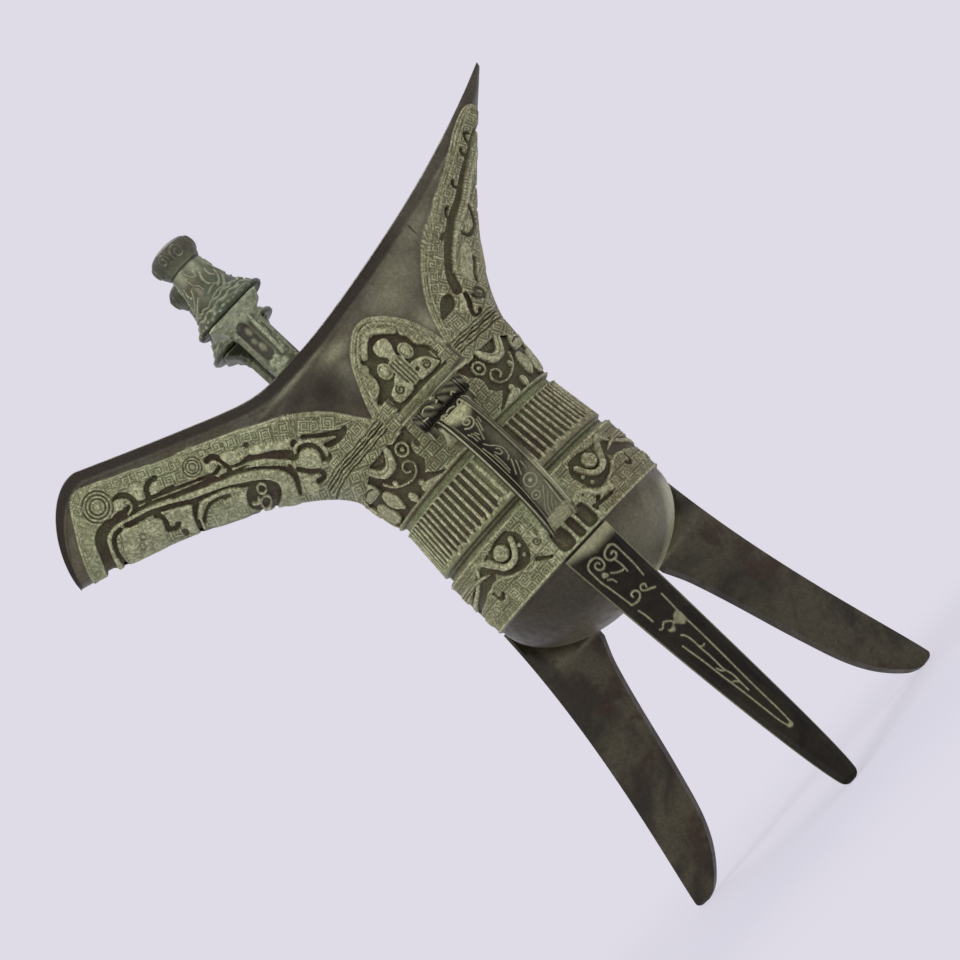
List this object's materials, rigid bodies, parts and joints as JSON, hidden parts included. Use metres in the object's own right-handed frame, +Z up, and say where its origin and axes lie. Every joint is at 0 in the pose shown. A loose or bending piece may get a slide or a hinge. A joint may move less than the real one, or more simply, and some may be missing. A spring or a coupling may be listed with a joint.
{
  "type": "bronze wine cup",
  "caption": "Tripod bronze wine cup with a pouring spout, pointed tail, animal-headed strap handle, capped rim posts and banded relief ornament.",
  "frame": {"origin": "middle of the footprint of the whole cup, on the table that the three feet stand on", "axes": "+Z up, -X towards the end of the spout, +X towards the tail, -Y towards the handle"},
  "size_m": [0.1764, 0.0882, 0.2226],
  "materials": {
    "patinated_bronze": "cast bronze with mint green and cream patina on the raised ornament, brown in the hollows",
    "dark_bronze": "nearly black bronze, rubbed pale along the edges and in the cut lines",
    "olive_bronze": "mottled olive brown bronze with a soft sheen",
    "post_bronze": "grey green cast bronze with pale worn edges and purple brown panels"
  },
  "bodies": {
    "root": {"cup_body": "patinated_bronze", "spout": "patinated_bronze", "tail": "patinated_bronze", "handle_strap": "dark_bronze", "handle_animal_head": "dark_bronze", "post_front": "post_bronze", "post_back": "post_bronze", "post_cap_front": "post_bronze", "post_cap_back": "post_bronze", "leg_front": "dark_bronze", "leg_tail_side": "olive_bronze", "leg_spout_side": "olive_bronze"}
  },
  "joints": []
}
